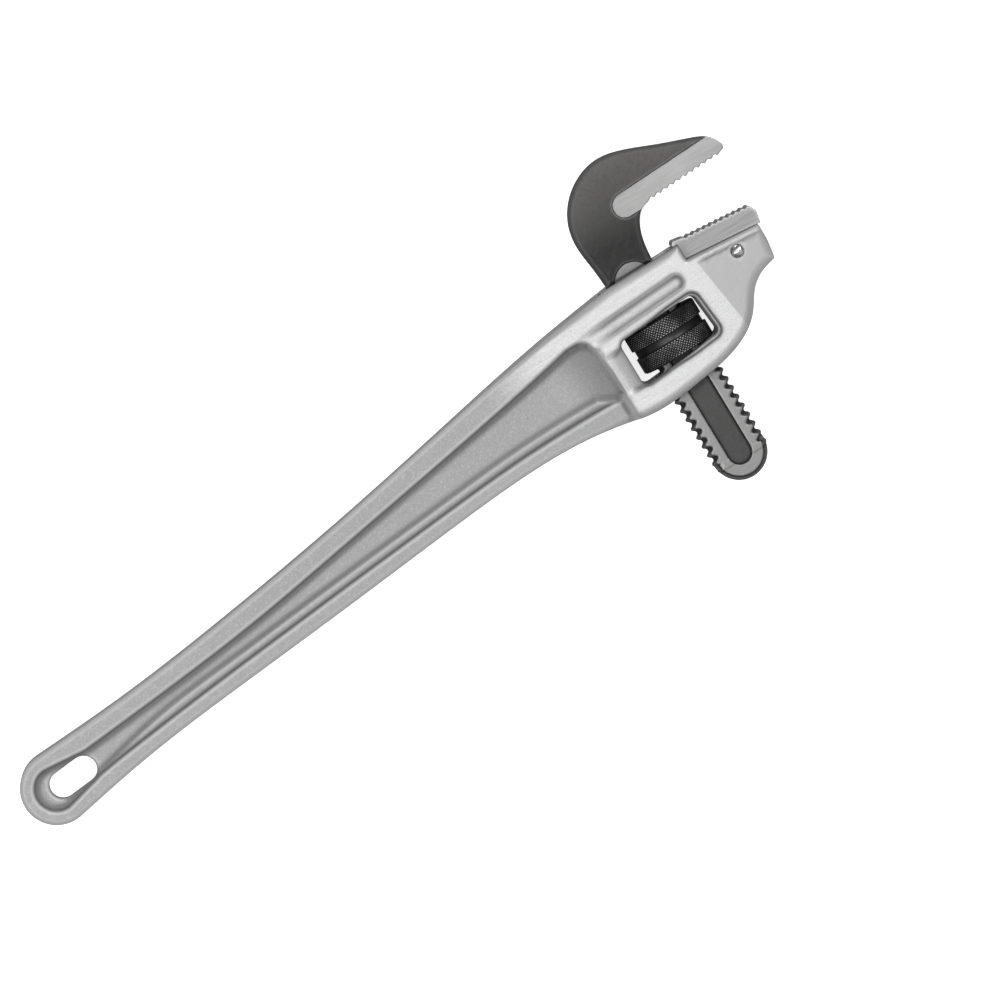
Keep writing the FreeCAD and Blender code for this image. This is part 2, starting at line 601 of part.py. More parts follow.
def footprint_shift(solids):
    """What brings the middle of the wrench's footprint to the origin and its lowest face to height 0."""
    low = V(1e9, 1e9, 1e9)
    high = V(-1e9, -1e9, -1e9)
    for solid in solids.values():
        bounds = solid.optimalBoundingBox(False, False)
        low = V(min(low.x, bounds.XMin), min(low.y, bounds.YMin), min(low.z, bounds.ZMin))
        high = V(max(high.x, bounds.XMax), max(high.y, bounds.YMax), max(high.z, bounds.ZMax))
    return V(-(low.x + high.x) / 2, -(low.y + high.y) / 2, -low.z)


def main():
    solids = build()
    shift = footprint_shift(solids)
    os.makedirs("parts", exist_ok=True)
    for name, solid in solids.items():
        solid.translate(shift)
        solid.exportStep(f"parts/{name}.step")
        print(name, len(solid.Solids), solid.isValid(), round(solid.Volume, 1))
    print("head coordinates moved by", [round(c, 4) for c in shift])


main()
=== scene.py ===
import math

import bpy
import numpy as np
from mathutils import Matrix, Vector


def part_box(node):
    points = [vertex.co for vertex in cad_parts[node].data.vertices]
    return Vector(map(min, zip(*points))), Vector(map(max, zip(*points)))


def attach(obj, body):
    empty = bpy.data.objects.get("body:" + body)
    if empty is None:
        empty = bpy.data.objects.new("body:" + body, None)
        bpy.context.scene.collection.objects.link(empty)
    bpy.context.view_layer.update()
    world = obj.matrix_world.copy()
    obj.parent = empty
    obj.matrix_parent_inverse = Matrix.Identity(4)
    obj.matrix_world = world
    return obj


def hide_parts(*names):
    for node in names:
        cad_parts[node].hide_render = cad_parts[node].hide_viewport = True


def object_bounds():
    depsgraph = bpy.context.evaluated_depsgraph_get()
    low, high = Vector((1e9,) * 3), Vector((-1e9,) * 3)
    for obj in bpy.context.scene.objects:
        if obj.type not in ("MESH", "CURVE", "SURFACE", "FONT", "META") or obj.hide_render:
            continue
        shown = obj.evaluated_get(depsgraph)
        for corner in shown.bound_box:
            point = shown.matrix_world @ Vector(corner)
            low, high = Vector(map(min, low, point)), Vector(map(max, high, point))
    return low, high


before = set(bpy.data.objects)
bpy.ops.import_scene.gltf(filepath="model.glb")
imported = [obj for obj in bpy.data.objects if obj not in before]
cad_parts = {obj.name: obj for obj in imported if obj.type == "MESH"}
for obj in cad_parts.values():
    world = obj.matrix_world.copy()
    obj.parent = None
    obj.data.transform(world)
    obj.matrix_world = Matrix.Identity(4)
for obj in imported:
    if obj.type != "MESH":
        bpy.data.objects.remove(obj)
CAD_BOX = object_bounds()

# Shapes below are in head coordinates, in millimetres: the origin is the nut's centre, +Y is the
# thread axis towards the hook, +X is towards the jaws' open end and +Z is up, away from the floor.
# place() turns them into the frame.
MM = 0.001
NUT_LOW, NUT_HIGH = (np.array(corner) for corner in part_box("adjusting_nut"))
HEAD = (NUT_LOW + NUT_HIGH) / 2
NUT_R = (NUT_HIGH - NUT_LOW)[0] / 2 / MM
NUT_HALF = (NUT_HIGH - NUT_LOW)[1] / 2 / MM


def head_box(node):
    """A CAD node's lowest and highest corners in head coordinates."""
    return tuple((np.array(corner) - HEAD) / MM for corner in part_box(node))


def place(points):
    return np.asarray(points, dtype=np.float64) * MM + HEAD


# ---- curves and distances in the wrench's plane --------------------------------------------------
def through(points, per_span=10):
    """A natural cubic spline through the points, sampled."""
    p = np.array(points, dtype=np.float64)
    t = np.concatenate([[0], np.cumsum(np.hypot(*np.diff(p, axis=0).T))])
    h = np.diff(t)
    n = len(p)
    system = np.eye(n)
    right = np.zeros((n, 2))
    for i in range(1, n - 1):
        system[i, i - 1:i + 2] = h[i - 1], 2 * (h[i - 1] + h[i]), h[i]
        right[i] = 6 * ((p[i + 1] - p[i]) / h[i] - (p[i] - p[i - 1]) / h[i - 1])
    bend = np.linalg.solve(system, right)
    out = []
    for i in range(n - 1):
        u = np.linspace(0, 1, per_span, endpoint=False)[:, None]
        a, b = 1 - u, u
        out.append(a * p[i] + b * p[i + 1] + ((a**3 - a) * bend[i] + (b**3 - b) * bend[i + 1]) * h[i]**2 / 6)
    return np.concatenate(out + [p[-1:]])


def arc_points(centre, radius, start_deg, end_deg, count=24):
    angle = np.radians(np.linspace(start_deg, end_deg, count))
    return np.stack([centre[0] + radius * np.cos(angle), centre[1] + radius * np.sin(angle)], axis=1)


def outline_distance(x, y, outline):
    """Signed distance to a closed outline, negative inside, at every (x, y)."""
    pts = np.asarray(outline, dtype=np.float32)
    x, y = np.broadcast_arrays(x, y)
    nearest = np.full(x.shape, 1e9, dtype=np.float32)
    inside = np.zeros(x.shape, dtype=bool)
    for (ax, ay), (bx, by) in zip(pts, np.roll(pts, -1, axis=0)):
        ex, ey = bx - ax, by - ay
        length2 = ex * ex + ey * ey
        if length2 < 1e-9:
            continue
        wx, wy = x - ax, y - ay
        t = np.clip((wx * ex + wy * ey) / length2, 0, 1)
        nearest = np.minimum(nearest, (wx - ex * t)**2 + (wy - ey * t)**2)
        if ey:
            crosses = (ay > y) != (by > y)
            inside ^= crosses & (x < (y - ay) * (ex / ey) + ax)
    nearest = np.sqrt(nearest)
    return np.where(inside, -nearest, nearest)


def capsule_distance(x, y, a, b, radius):
    ex, ey = b[0] - a[0], b[1] - a[1]
    t = np.clip(((x - a[0]) * ex + (y - a[1]) * ey) / (ex * ex + ey * ey), 0, 1)
    return np.hypot(x - a[0] - ex * t, y - a[1] - ey * t) - radius


def line_side(x, y, a, b):
    """Distance to the line through a and b, positive on its left."""
    ex, ey = b[0] - a[0], b[1] - a[1]
    return (ex * (y - a[1]) - ey * (x - a[0])) / math.hypot(ex, ey)


def ease(value, start, end):
    t = np.clip((value - start) / (end - start), 0, 1)
    return t * t * (3 - 2 * t)


def soft_max(a, b, reach):
    """The larger of a and b, rounded over where they cross. A plain edge where reach is 0."""
    reach = np.maximum(reach, 1e-4)
    h = np.maximum(reach - np.abs(a - b), 0) / reach
    return np.maximum(a, b) + h * h * reach / 4


def soft_min(a, b, reach):
    return -soft_max(-a, -b, reach)


def take_away(body, cutter, reach):
    return soft_max(body, -cutter, reach)


# ---- from a distance field to a mesh -------------------------------------------------------------
def surface_net(field, low, step):
    """Vertices and quads of the surface where the field is 0."""
    inside = field < 0
    wide, deep, high = (count - 1 for count in inside.shape)
    corner_count = sum(
        inside[i:i + wide, j:j + deep, k:k + high].astype(np.int8)
        for i in (0, 1) for j in (0, 1) for k in (0, 1)
    )
    cells = np.argwhere((corner_count > 0) & (corner_count < 8))
    index = np.full(corner_count.shape, -1, dtype=np.int32)
    index[tuple(cells.T)] = np.arange(len(cells), dtype=np.int32)
    total = np.zeros((len(cells), 3))
    count = np.zeros(len(cells))
    for axis in range(3):
        others = [a for a in range(3) if a != axis]
        for u in (0, 1):
            for v in (0, 1):
                start = cells.copy()
                start[:, others[0]] += u
                start[:, others[1]] += v
                end = start.copy()
                end[:, axis] += 1
                fa, fb = field[tuple(start.T)], field[tuple(end.T)]
                crosses = (fa < 0) != (fb < 0)
                t = np.where(crosses, fa / np.where(crosses, fa - fb, 1), 0)
                point = start.astype(np.float64)
                point[:, axis] += t
                total[crosses] += point[crosses]
                count += crosses
    vertices = total / count[:, None]
    quads = []
    for axis in range(3):
        a, b = [(axis + 1) % 3, (axis + 2) % 3]
        first = np.take(inside, np.arange(inside.shape[axis] - 1), axis=axis)
        second = np.take(inside, np.arange(1, inside.shape[axis]), axis=axis)
        edges = np.argwhere(first != second)
        edges = edges[(edges[:, a] > 0) & (edges[:, b] > 0)]
        edges = edges[(edges[:, a] < field.shape[a] - 1) & (edges[:, b] < field.shape[b] - 1)]
        outward = first[tuple(edges.T)]
        ring = []
        for da, db in ((-1, -1), (0, -1), (0, 0), (-1, 0)):
            cell = edges.copy()
            cell[:, a] += da
            cell[:, b] += db
            ring.append(index[tuple(cell.T)])
        ring = np.stack(ring, axis=1)
        ring[~outward] = ring[~outward][:, ::-1]
        quads.append(ring)
    return vertices * step + low, np.concatenate(quads)


def sample(field, low, step, points):
    """The field at any points, interpolated."""
    where = (points - low) / step
    cell = np.clip(np.floor(where).astype(int), 0, np.array(field.shape) - 2)
    f = where - cell
    value = 0
    for i in (0, 1):
        for j in (0, 1):
            for k in (0, 1):
                weight = (f[:, 0] if i else 1 - f[:, 0]) * (f[:, 1] if j else 1 - f[:, 1])
                weight = weight * (f[:, 2] if k else 1 - f[:, 2])
                value = value + weight * field[cell[:, 0] + i, cell[:, 1] + j, cell[:, 2] + k]
    return value


def field_slope(field, low, step, points):
    slope = np.empty_like(points)
    for axis in range(3):
        shift = np.zeros(3)
        shift[axis] = step * 0.5
        slope[:, axis] = sample(field, low, step, points + shift) - sample(field, low, step, points - shift)
    return slope / np.maximum(np.linalg.norm(slope, axis=1), 1e-9)[:, None]


def mesh_object(name, vertices, faces):
    mesh = bpy.data.meshes.new(name)
    vertices = place(vertices)
    mesh.vertices.add(len(vertices))
    mesh.vertices.foreach_set("co", vertices.astype(np.float32).ravel())
    corners = faces.shape[1]
    mesh.loops.add(faces.size)
    mesh.loops.foreach_set("vertex_index", faces.astype(np.int32).ravel())
    mesh.polygons.add(len(faces))
    mesh.polygons.foreach_set("loop_start", np.arange(0, faces.size, corners, dtype=np.int32))
    mesh.update(calc_edges=True)
    mesh.validate()
    mesh.shade_smooth()
    piece = bpy.data.objects.new(name, mesh)
    bpy.context.scene.collection.objects.link(piece)
    return piece


MAX_TRIANGLES = 190_000
BEND_REACH = 1.4  # how far round a point its convexity is felt


def carve(name, shape, low, high, step):
    """A piece whose surface is where shape(x, y, z) is 0, meshed on a grid of this step."""
    low, high = np.array(low, dtype=float), np.array(high, dtype=float)
    x, y, z = (np.arange(low[i], high[i] + step, step, dtype=np.float32) for i in range(3))
    field = shape(x[:, None, None], y[None, :, None], z[None, None, :]).astype(np.float32)
    vertices, quads = surface_net(field, low, step)
    piece = mesh_object(name, vertices, quads)
    triangles = 2 * len(quads)
    if triangles > MAX_TRIANGLES:
        thin = piece.modifiers.new("thin", "DECIMATE")
        thin.ratio = MAX_TRIANGLES / triangles
        apply_modifiers(piece)
    return piece, settle(piece, field, low, step)


def apply_modifiers(piece):
    graph = bpy.context.evaluated_depsgraph_get()
    mesh = bpy.data.meshes.new_from_object(piece.evaluated_get(graph))
    old = piece.data
    piece.modifiers.clear()
    piece.data = mesh
    bpy.data.meshes.remove(old)


def settle(piece, field, low, step):
    """Moves vertices onto the surface, takes their normals from the field and marks how convex it is."""
    mesh = piece.data
    flat = np.empty(len(mesh.vertices) * 3, dtype=np.float32)
    mesh.vertices.foreach_get("co", flat)
    points = (flat.reshape(-1, 3).astype(np.float64) - HEAD) / MM
    for _ in range(2):
        move = sample(field, low, step, points)[:, None] * field_slope(field, low, step, points)
        points -= np.clip(move, -step * 0.3, step * 0.3)
    mesh.vertices.foreach_set("co", place(points).astype(np.float32).ravel())
    mesh.update()
    mesh.shade_smooth()
    mesh.normals_split_custom_set_from_vertices(field_slope(field, low, step, points).tolist())
    offsets = BEND_REACH * np.vstack([np.eye(3), -np.eye(3)])
    around = sum(sample(field, low, step, points + offset) for offset in offsets)
    mark(piece, "bend", around / len(offsets) / BEND_REACH)
    return points


def mark(piece, name, values):
    """Stores one number for each vertex, for a material to read."""
    piece.data.attributes.new(name, "FLOAT", "POINT").data.foreach_set("value", values.astype(np.float32))


# ---- handle and housing --------------------------------------------------------------------------
HOUSING_HALF = 20.0
RAIL_HALF = 11.5
WEB_HALF = 4.5
END_CENTRE, END_R = (-370.3, -32.8), 18.0
TOP_EDGE = [(-13.85, 35.9), (-52.2, 30.7), (-102.0, 22.0), (-177.0, 7.9), (-252.0, -3.8), (-322.0, -11.9)]
BOTTOM_EDGE = [
    (-327.0, -43.4), (-267.0, -36.8), (-197.0, -30.6), (-127.0, -23.9), (-87.0, -21.4), (-57.0, -22.6),
]
HOUSING_FLOOR = [
    (-40.0, -25.3), (-27.0, -27.6), (-17.0, -27.9), (3.0, -25.8), (23.2, -21.8), (34.0, -16.8), (41.5, -10.1),
]
HEEL_HOLLOW = [(46.4, -3.1), (51.2, 1.6), (57.5, 4.6), (64.0, 6.1)]
NOSE_END, NOSE_HALF = (65.5, 16.0), 13.2
HEEL_CORNER = (25.95, 28.2)
HEEL_DEG = -5.2
SEAT_TOP_Y = 36.3
RAIL_INNER_TOP = [
    (-46.8, 20.6), (-56.8, 18.4), (-86.8, 12.6), (-126.8, 5.4), (-186.8, -4.6), (-246.8, -14.1),
    (-306.8, -20.6), (-349.0, -24.3),
]
RAIL_INNER_LOW = [
    (-349.0, -38.0), (-306.8, -33.0), (-266.8, -28.8), (-236.8, -26.0), (-196.8, -22.3), (-156.8, -18.8),
    (-126.8, -16.2), (-86.8, -13.6), (-46.8, -13.2),
]
POCKET_END_R = 10.6
SHELF_WIDTH, SHELF_HEIGHT = 4.2, 2.6  # the step along the lower rail, inside the hollow
HANG_A, HANG_B, HANG_R = (-367.0, -33.2), (-354.65, -32.12), 6.7
FACET_A, FACET_B = (29.7, 25.8), (34.8, -11.1)  # line where the heel's slanted facet starts
FACET_SLOPE = 0.2
GRIND_DEG = 27.0  # lean of the belt-grinding streaks on the cheeks
LEDGE_HEIGHT, LEDGE_WIDTH = 0.7, 3.2  # band under the heel jaw's seat
THROAT_HALF = 9.0
WINDOW = [(-22.9, 10.54), (20.9, 12.68), (22.4, -10.62), (-22.9, -14.27)]
WINDOW_DRAFT = 1.1  # the front half of the window narrows by this much at the middle plane
SCOOP_RUN, SCOOP_DEPTH = 8.6, 4.6


def heel_point(along, up):
    tilt = math.radians(HEEL_DEG)
    return (
        HEEL_CORNER[0] + along * math.cos(tilt) - up * math.sin(tilt),
        HEEL_CORNER[1] + along * math.sin(tilt) + up * math.cos(tilt),
    )


def casting_outline():
    end_top = arc_points(END_CENTRE, END_R, 93, 93, 1)
    end_low = arc_points(END_CENTRE, END_R, 280, 280, 1)
    top = through(TOP_EDGE + [tuple(end_top[0])])
    low = through([tuple(end_low[0])] + BOTTOM_EDGE + HOUSING_FLOOR + HEEL_HOLLOW, 8)
    seat_end = heel_point((NOSE_END[0] - HEEL_CORNER[0]) / math.cos(math.radians(HEEL_DEG)), 0)
    rest = [NOSE_END, seat_end, HEEL_CORNER, (HEEL_CORNER[0], SEAT_TOP_Y)]
    return np.concatenate([top, arc_points(END_CENTRE, END_R, 93, 280, 40)[1:-1], low, np.array(rest)])


def pocket_outline(shelf=0.0):
    """The I-beam's hollow, which the ramp ends at the housing. The shelf narrows it from below."""
    top = through(RAIL_INNER_TOP, 8)
    end = arc_points(END_CENTRE, POCKET_END_R, 95, 272, 30)
    low = through([(x, y + shelf * float(ease(x, -352.0, -322.0))) for x, y in RAIL_INNER_LOW], 8)
    block = [(-38.0, -13.4), (-33.0, -11.5), (-33.0, 12.5), (-36.5, 18.5), (-41.0, 20.6)]
    return np.concatenate([top, end, low, np.array(block)])


def cheek_height(x, y):
    """Half thickness of the casting's outside at each (x, y)."""
    stations, heights = [-380, -320, -180, -120, -60, -34], [-33, -28, -12, -4.5, 2.0, 3.0]
    middle = np.interp(x, stations, heights).astype(np.float32)
    upper = ease(y - middle, -3.0, 3.0)
    swell = HOUSING_HALF - RAIL_HALF
    along_top = RAIL_HALF + swell * ease(x, -150.0, -28.0)
    along_low = RAIL_HALF + 3.7 * ease(x, -150.0, -36.0) + (swell - 3.7) * ease(x, -38.0, -31.5)
    height = along_low + (along_top - along_low) * upper
    facet = HOUSING_HALF - FACET_SLOPE * line_side(x, y, FACET_A, FACET_B)
    return soft_min(height, facet + ledge(x, y), 0.4)


def seat_axes(x, y):
    """Distances along the heel jaw's seat and up from it."""
    tilt = math.radians(HEEL_DEG)
    dx, dy = x - HEEL_CORNER[0], y - HEEL_CORNER[1]
    return dx * math.cos(tilt) + dy * math.sin(tilt), dy * math.cos(tilt) - dx * math.sin(tilt)


def facet_edge(points):
    """Distance in millimetres to the smooth slanted facet, negative on it."""
    x, y, z = points.T
    side = np.maximum(-line_side(x, y, FACET_A, FACET_B), seat_axes(x, y)[1] + LEDGE_WIDTH)
    return np.clip(np.maximum(side, NOSE_HALF - 1.5 - np.abs(z)), -4, 4)


def ledge(x, y):
    """The low band on the slanted facet, just under the seat."""
    below = -seat_axes(x, y)[1]
    return LEDGE_HEIGHT * (1 - ease(below, LEDGE_WIDTH - 0.5, LEDGE_WIDTH + 0.5))


def handle_shape(x, y, z):
    outline = outline_distance(x[..., 0], y[..., 0], casting_outline())[..., None]
    depth = np.abs(z)
    height = cheek_height(x[..., 0], y[..., 0])[..., None]
    # The body, with its outer edges rounded.
    edge = 2.4 + 2.4 * ease(x, -60.0, -20.0) - 2.9 * ease(x, 17.0, 25.0) * ease(y, 16.0, 26.0)
    a, b = outline + edge, depth - height + edge
    body = np.hypot(np.maximum(a, 0), np.maximum(b, 0)) + np.minimum(np.maximum(a, b), 0) - edge
    # The I-beam's hollows, whose floor ramps up to the housing.
    pocket = outline_distance(x[..., 0], y[..., 0], pocket_outline())[..., None]
    climb = np.clip((x + 0.10 * y + 66.0) / 33.0, 0, 1)
    floor = WEB_HALF + (HOUSING_HALF - 2.0 - WEB_HALF) * climb**2.3
    hollow = soft_max(pocket + 0.06 * (height - depth), floor + SHELF_HEIGHT - depth, 1.6)
    body = take_away(body, hollow, 1.6)
    inner = outline_distance(x[..., 0], y[..., 0], pocket_outline(SHELF_WIDTH))[..., None]
    body = take_away(body, soft_max(inner + 0.1 * (height - depth), floor - depth, 3.0), 1.8)
    hang = capsule_distance(x, y, HANG_A, HANG_B, HANG_R)
    body = take_away(body, hang, 1.6)
    # The nut's window, and the scoop behind the nut on each face.
    window = outline_distance(x[..., 0], y[..., 0], inset(WINDOW, 3.4))[..., None] - 3.4
    window = window + WINDOW_DRAFT * (1 - depth / HOUSING_HALF) * ease(x, 4.0, 18.0)
    body = take_away(body, window, 2.4)
    lip = soft_max(window - 1.5 * ease(x, -12.0, 8.0), HOUSING_HALF - 2.4 - depth, 0.6)
    body = take_away(body, lip, 1.3)
    scoop_floor = HOUSING_HALF - SCOOP_DEPTH * np.clip((x - (-22.9 - SCOOP_RUN)) / SCOOP_RUN, -1, 2)
    band = np.maximum(np.abs(y + 1.8 - 0.047 * x) - 10.9, x + 10.0)
    scoop = soft_max(band, (scoop_floor - depth) * 0.7, 2.6)
    body = take_away(body, scoop, 1.6)
    # The long groove on each cheek, which fades out towards the handle.
    groove = capsule_distance(x, y, (-36.0, 18.6), (16.0, 21.4), 3.9)
    groove_floor = HOUSING_HALF - 2.2 * ease(x, -42.0, -18.0)
    body = take_away(body, soft_max(groove, groove_floor - depth, 2.6), 1.6)
    return cut_inside(body, x, y, z, depth)


def inset(corners, amount):
    """A four-cornered outline moved inwards."""
    centre = np.mean(corners, axis=0)
    return [tuple(np.array(c) - amount * np.sign(np.array(c) - centre)) for c in corners]


def cut_inside(body, x, y, z, depth):
    """Takes away what the moving pieces, the heel jaw and the spring set need."""
    above = outline_distance(
        x[..., 0], y[..., 0], [(-18.8, 0), (16.2, 0), (16.2, 27.4), (21.6, 35.9), (21.6, 60), (-18.8, 60)]
    )[..., None]
    body = take_away(body, np.maximum(above, depth - THROAT_HALF), 0.8)
    below = np.maximum(np.maximum(-15.4 - x, x - 17.4), y)
    body = take_away(body, np.maximum(below, depth - THROAT_HALF), 0.8)
    coil = np.maximum(np.hypot(y - 25.0, z) - 4.5, np.maximum(-31.0 - x, x + 18.0))
    body = np.maximum(body, -coil)
    notch = np.maximum(np.maximum(-21.7 - x, x + 17.8), np.maximum(np.abs(y - 15.6) - 2.0, depth - 7.4))
    body = np.maximum(body, -notch)
    along, up = seat_axes(x, y)
    tongue = np.maximum(np.maximum(3.8 - along, along - 35.2), np.maximum(-14.2 - up, depth - 5.1))
    body = np.maximum(body, -tongue)
    pin = np.hypot(along - 24.45, up + 7.1) - 3.24
    return np.maximum(body, -pin)


# ---- hook jaw ------------------------------------------------------------------------------------
PITCH = 5.08
CREST_R, ROOT_R = 14.75, 12.6
SHANK_HALF = 8.0
FORGING_HALF = 8.5
THREAD_PHASE = -68.1
SHANK_END_R, SHANK_END_Y = 14.0, -66.1
RIM_WIDTH, RIM_HALF = 2.2, 6.4
RECESS_HALF_WIDTH, RECESS_TOP, RECESS_DEPTH = 6.2, 14.0, 2.0
FORGING_PAINTED_SHADE_Y, PAINTED_LIGHT_TOP_Y, MILLED_PAINTED_SHADE_Y = 0.045, 0.085, 0.030  # frame heights for the hook's painted shade and light: darkest painted shade near the housing, fullest painted light towards the hook's top
NECK_Y = 35.4
BACK_CURVE = [
    (-13.85, 35.4), (-14.7, 47.0), (-15.9, 61.5), (-12.8, 74.0), (-4.5, 84.5), (5.0, 90.1), (15.0, 92.0),
    (26.0, 90.0), (44.0, 82.9), (60.0, 76.9), (67.6, 72.6), (70.9, 66.9),
]
NOSE_TIP = (70.2, 64.9)
TEETH_FROM, TEETH_TO = (66.0, 63.3), (25.4, 61.7)
TOOTH_COUNT = 11
TOOTH_DEPTH = 1.3
STRIP_HEIGHT, STRIP_END_X = 11.0, 14.6
THROAT_CURVE = [(25.4, 61.7), (21.6, 60.5), (18.2, 57.4), (15.4, 52.4), (13.4, 45.4), (12.35, 35.4)]


def saw_teeth(start, end, count, depth, lean):
    """Tips on the line from start to end, roots depth to its left."""
    a, b = np.array(start, dtype=float), np.array(end, dtype=float)
    along = (b - a) / count
    left = np.array([-(b - a)[1], (b - a)[0]]) / np.hypot(*(b - a))
    points = []
    for i in range(count):
        points += [a + along * i, a + along * (i + lean) + left * depth]
    return np.array(points + [b])


def hook_outline():
    teeth = saw_teeth(TEETH_FROM, TEETH_TO, TOOTH_COUNT, -TOOTH_DEPTH, 0.35)
    return np.concatenate([through(BACK_CURVE, 8), [NOSE_TIP], teeth, through(THROAT_CURVE, 6)[1:]])


def thread_profile(x, y, z):
    """Distance below the helical ridge's surface, positive outside it."""
    radius = np.hypot(x, z)
    turn = np.arctan2(-z, x) / (2 * math.pi)
    offset = (y - THREAD_PHASE - turn * PITCH + PITCH / 2) % PITCH - PITCH / 2
    flank = np.abs(offset) - 0.75 - (CREST_R - radius) * math.tan(math.radians(20))
    ridge = soft_max(flank * 0.94, radius - CREST_R, 1.3)
    return soft_min(ridge, radius - ROOT_R, 1.5)


def milled_strip(x, y):
    """Distance to the strip that is milled along the teeth on each side."""
    slope = (TEETH_FROM[1] - TEETH_TO[1]) / (TEETH_FROM[0] - TEETH_TO[0])
    radius = (STRIP_HEIGHT + TOOTH_DEPTH) / 2
    start = (STRIP_END_X, TEETH_TO[1] + radius - TOOTH_DEPTH + slope * (STRIP_END_X - TEETH_TO[0]))
    return capsule_distance(x, y, start, (start[0] + 90, start[1] + slope * 90), radius)


def neck_disc(x, y):
    """Distance to the round facing cut where the shank meets the forging."""
    return np.hypot(x + 0.5, y - 32.0) - 9.6


def shank_recess(x, y):
    return capsule_distance(x, y, (0, SHANK_END_Y), (0, RECESS_TOP), RECESS_HALF_WIDTH)


def milled(points):
    """Distance in millimetres to the hook's milled faces, negative on them."""
    x, y, z = points.T
    shank = np.maximum(-shank_recess(x, y), np.maximum(y - NECK_Y + 2.0, SHANK_HALF - 0.45 - np.abs(z)))
    rim = np.maximum(np.hypot(x, y - SHANK_END_Y) - SHANK_END_R + RIM_WIDTH, y - SHANK_END_Y)
    shank = np.where(y < SHANK_END_Y, np.maximum(shank, rim), shank)
    faces = np.minimum(np.minimum(milled_strip(x, y), neck_disc(x, y)), shank)
    return np.clip(faces, -4, 4)


def hook_shape(x, y, z):
    depth = np.abs(z)
    outline = outline_distance(x[..., 0], y[..., 0], hook_outline())[..., None]
    strip = milled_strip(x, y)
    in_strip = 1 - ease(strip, -0.4, 0.8)
    edge = 2.6 - 2.45 * in_strip
    crown = FORGING_HALF - 0.35 * ease(-outline, 9.0, 1.0)
    a, b = outline + edge, depth - crown + edge
    forging = np.hypot(np.maximum(a, 0), np.maximum(b, 0)) + np.minimum(np.maximum(a, b), 0) - edge
    forging = take_away(forging, np.maximum(strip, SHANK_HALF - 0.25 - depth), 0.25)
    forging = take_away(forging, np.maximum(neck_disc(x, y), SHANK_HALF - depth), 0.25)
    # The shank: threads between flats, a round end with an unmilled rim, and a long recess on each face.
    threads = soft_max(thread_profile(x, y, z), np.maximum(-69.8 - y, y - 36.0), 0.5)
    tip = np.maximum(np.hypot(x, y - SHANK_END_Y) - SHANK_END_R, y + 64.5)
    rim = soft_max(tip, depth - RIM_HALF, 1.6)
    face = soft_max(np.maximum(tip + RIM_WIDTH, y + 60.0), depth - SHANK_HALF, 0.4)
    shank = soft_min(soft_max(threads, depth - SHANK_HALF, 0.4), soft_min(rim, face, 0.5), 0.6)
    shank = take_away(shank, soft_max(shank_recess(x, y), SHANK_HALF - RECESS_DEPTH - depth, 0.9), 0.4)
    return np.minimum(forging, shank)


# ---- heel jaw ------------------------------------------------------------------------------------
HEEL_LENGTH, HEEL_HEIGHT, HEEL_HALF = 41.0, 10.4, 12.0
HEEL_LIP = 2.4


def heel_outline():
    tips = [heel_point(HEEL_LENGTH - 2.5, HEEL_HEIGHT), heel_point(HEEL_LIP + 1.0, HEEL_HEIGHT)]
    lip_x, lip_y = HEEL_CORNER[0] - HEEL_LIP, SEAT_TOP_Y + 0.1
    outline = [heel_point(0.1, 0.1), heel_point(HEEL_LENGTH, 0.1)]
    outline += [heel_point(HEEL_LENGTH + 0.6, HEEL_HEIGHT - 4)]
    outline += [heel_point(HEEL_LENGTH - 1.2, HEEL_HEIGHT - 1.0)]
    outline += list(saw_teeth(tips[0], tips[1], TOOTH_COUNT, TOOTH_DEPTH * 0.7, 0.5))
    outline += [(lip_x + 1.4, lip_y + 2.8), (lip_x, lip_y + 1.2)]
    outline += [(lip_x + 0.2, lip_y), (HEEL_CORNER[0] + 0.1, lip_y)]
    return np.array([tuple(p) for p in outline])


def heel_shape(x, y, z):
    depth = np.abs(z)
    outline = outline_distance(x[..., 0], y[..., 0], heel_outline())[..., None]
    block = soft_max(outline, depth - HEEL_HALF, 0.7)
    foot = [heel_point(4, 1), heel_point(35, 1), heel_point(35, -10), heel_point(31, -14), heel_point(4, -14)]
    tongue = np.maximum(outline_distance(x[..., 0], y[..., 0], foot)[..., None], depth - 5.0)
    centre = heel_point(24.45, -7.1)
    hole = np.hypot(x - centre[0], y - centre[1]) - 3.24
    return np.maximum(np.minimum(block, tongue), -hole)


# ---- turned pieces -------------------------------------------------------------------------------
def lathe(name, profile, around, axis="Y", centre=(0, 0, 0), relief=None):
    """A closed turned piece and its crests. profile is (radius, height) pairs.

    relief(radius, height, angle) gives new radii, and 0 to 1 for how far up the relief each point is.
    """
    profile = np.array(profile, dtype=float)
    angle = np.linspace(0, 2 * math.pi, around, endpoint=False)
    radius = np.repeat(profile[:, 0][:, None], around, axis=1)
    height = np.repeat(profile[:, 1][:, None], around, axis=1)
    crest = np.full(radius.shape, 0.5)
    if relief:
        radius, crest = relief(radius, height, angle[None, :])
    c, s = radius * np.cos(angle), radius * np.sin(angle)
    points = np.stack([c, height, -s] if axis == "Y" else [c, s, height], axis=-1).reshape(-1, 3) + centre
    rows = len(profile)
    i, j = np.meshgrid(np.arange(rows), np.arange(around), indexing="ij")
    nxt, right = (i + 1) % rows, (j + 1) % around
    faces = np.stack([i * around + j, i * around + right, nxt * around + right, nxt * around + j], axis=-1)
    return mesh_object(name, points, faces.reshape(-1, 4)), crest.ravel()


NUT_GROOVE_HALF, NUT_GROOVE_DEPTH, NUT_CHAMFER = 2.1, 1.2, 0.9
BORE_GAP = 0.35
KNURL_COUNT = 72
KNURL_DEPTH = 0.42


